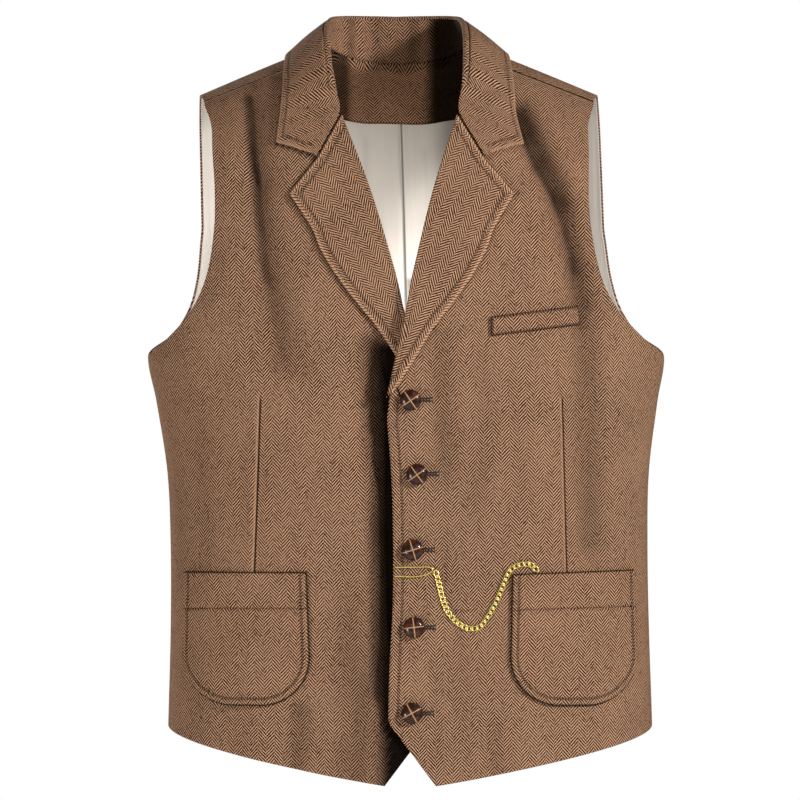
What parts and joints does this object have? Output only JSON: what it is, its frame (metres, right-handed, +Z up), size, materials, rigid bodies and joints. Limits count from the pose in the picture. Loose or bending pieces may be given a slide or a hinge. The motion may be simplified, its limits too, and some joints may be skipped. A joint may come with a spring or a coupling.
{
  "type": "suit waistcoat",
  "caption": "Single-breasted herringbone tweed waistcoat with notched lapels, patch pockets, a breast welt, leather buttons and a watch chain, filled out with no wearer.",
  "frame": {"origin": "between the shoulders, at the middle height of the shoulder slope, where the wearer holds the waistcoat up", "axes": "+Z up towards the collar, -Y out of the buttoned front, +X towards the wearer's left"},
  "size_m": [0.446, 0.2136, 0.664],
  "materials": {
    "tweed": "matte brown wool tweed woven in a vertical herringbone",
    "lining": "smooth warm grey lining with a soft sheen",
    "leather": "glossy dark brown leather",
    "gold": "polished gold-coloured metal"
  },
  "bodies": {
    "root": {"front_left": "tweed", "front_right": "tweed", "back_left": "tweed", "back_right": "tweed", "back_lining_left": "lining", "back_lining_right": "lining", "neck_band": "tweed", "collar": "tweed", "collar_stand": "tweed", "lapel_left": "tweed", "lapel_right": "tweed", "pocket_band_left": "tweed", "pocket_left": "tweed", "pocket_band_right": "tweed", "pocket_right": "tweed", "breast_welt": "tweed", "button_1": "leather", "button_2": "leather", "button_3": "leather", "button_4": "leather", "button_5": "leather", "watch_chain": "gold", "chain_hook": "gold"}
  },
  "joints": []
}
